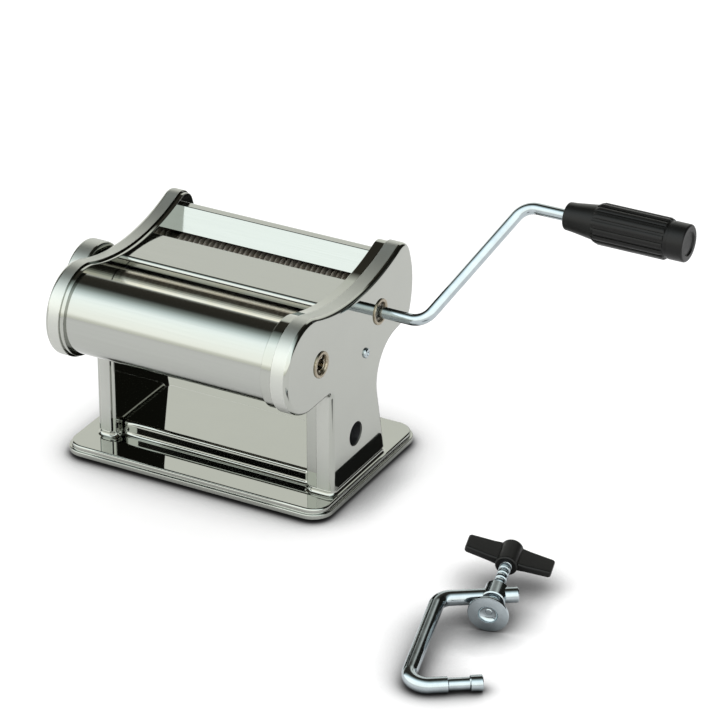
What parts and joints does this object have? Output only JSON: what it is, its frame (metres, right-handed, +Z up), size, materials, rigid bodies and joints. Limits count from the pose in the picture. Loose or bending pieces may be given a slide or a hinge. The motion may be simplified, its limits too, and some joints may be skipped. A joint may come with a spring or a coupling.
{
  "type": "hand-cranked pasta machine",
  "caption": "Chromed hand-cranked pasta machine with smooth rollers, a pair of strip cutters, a removable crank with a black ribbed grip and a loose table clamp.",
  "frame": {"origin": "on the table, under the middle of the base plate", "axes": "+X along the rollers towards the crank side, +Y to the rear, +Z up"},
  "size_m": [0.3915, 0.3233, 0.1995],
  "materials": {
    "mirror_chrome": "mirror-polished chrome plate on pressed steel",
    "satin_chrome": "satin chrome plate on sheet steel",
    "roller_steel": "turned and nickel-plated steel",
    "gear_steel": "plain machined steel, lightly oiled",
    "zinc_steel": "bright zinc plate with a blue cast",
    "bearing_bronze": "turned sintered bronze",
    "comb_plastic": "moulded off-white nylon",
    "black_plastic": "glossy black moulded plastic",
    "black_rubber": "matt black rubber"
  },
  "bodies": {
    "frame": {"base_plate": "mirror_chrome", "rubber_feet": "black_rubber", "left_cheek": "mirror_chrome", "right_cheek": "mirror_chrome", "left_frame": "mirror_chrome", "right_frame": "mirror_chrome", "front_drum_cover": "satin_chrome", "middle_plate": "satin_chrome", "rear_cover": "satin_chrome", "tie_rods": "gear_steel", "cheek_screws": "zinc_steel", "front_eyelet": "bearing_bronze", "rear_eyelet": "bearing_bronze", "clamp_sleeve": "gear_steel", "left_bushes": "bearing_bronze", "right_bushes": "bearing_bronze", "front_scraper": "roller_steel", "front_comb": "comb_plastic", "rear_comb": "comb_plastic", "clamp_bar": "zinc_steel", "clamp_eye": "zinc_steel"},
    "smooth_front": {"front_roller": "roller_steel", "front_roller_gear": "gear_steel"},
    "carriage": {"left_bearing_block": "gear_steel", "right_bearing_block": "gear_steel", "carriage_bar": "gear_steel", "rear_scraper": "roller_steel"},
    "smooth_rear": {"rear_roller": "roller_steel", "rear_roller_shaft": "roller_steel", "rear_roller_gear": "gear_steel"},
    "dial": {"dial_shaft": "gear_steel", "thickness_dial": "mirror_chrome"},
    "cutter_driven": {"driven_cutter": "roller_steel", "driven_cutter_gear": "gear_steel"},
    "cutter_idle": {"idle_cutter": "roller_steel", "idle_cutter_gear": "gear_steel"},
    "crank": {"crank_rod": "zinc_steel", "crank_tip": "zinc_steel", "crank_pin": "zinc_steel"},
    "grip": {"crank_grip": "black_plastic", "grip_cap": "black_plastic"},
    "pad": {"clamp_pad": "zinc_steel"},
    "screw": {"clamp_screw": "zinc_steel", "wing_handle": "black_plastic"}
  },
  "joints": [
    {"name": "smooth_drive", "type": "hinge", "parent": "frame", "child": "smooth_front", "pos_m": [0, -0.0611, 0.1171], "axis": [1, 0, 0], "continuous": true},
    {"name": "carriage_slide", "type": "slide", "parent": "frame", "child": "carriage", "axis": [0, 0.9877, 0.1564], "range_m": [0, 0.0022]},
    {"name": "rear_turn", "type": "hinge", "parent": "carriage", "child": "smooth_rear", "pos_m": [0, -0.03443, 0.12132], "axis": [1, 0, 0], "continuous": true},
    {"name": "dial_turn", "type": "hinge", "parent": "frame", "child": "dial", "pos_m": [-0.095, -0.03335, 0.1215], "axis": [1, 0, 0], "range_deg": [0, 180]},
    {"name": "cutter_drive", "type": "hinge", "parent": "frame", "child": "cutter_driven", "pos_m": [0, 0.0197, 0.1196], "axis": [1, 0, 0], "continuous": true},
    {"name": "idle_turn", "type": "hinge", "parent": "frame", "child": "cutter_idle", "pos_m": [0, 0.041, 0.1196], "axis": [1, 0, 0], "continuous": true},
    {"name": "crank_pull", "type": "slide", "parent": "cutter_driven", "child": "crank", "axis": [1, 0, 0], "range_m": [0, 0.016]},
    {"name": "grip_spin", "type": "hinge", "parent": "crank", "child": "grip", "pos_m": [0.25, 0.08871, 0.18532], "axis": [1, 0, 0], "continuous": true},
    {"name": "pad_slide", "type": "slide", "parent": "frame", "child": "pad", "axis": [0.2377, -0.9641, -0.1186], "range_m": [-0.005, 0.02125]},
    {"name": "screw_turn", "type": "hinge", "parent": "pad", "child": "screw", "pos_m": [0.25345, -0.1151, 0.01587], "axis": [0.2377, -0.9641, -0.1186], "range_deg": [-1440, 6120]}
  ],
  "couplings": [
    {"joint": "rear_turn", "follows": "smooth_drive", "ratio": -1},
    {"joint": "carriage_slide", "follows": "dial_turn", "m_per_rad": 0.00070028},
    {"joint": "idle_turn", "follows": "cutter_drive", "ratio": -1},
    {"joint": "pad_slide", "follows": "screw_turn", "m_per_rad": 0.00019894}
  ]
}
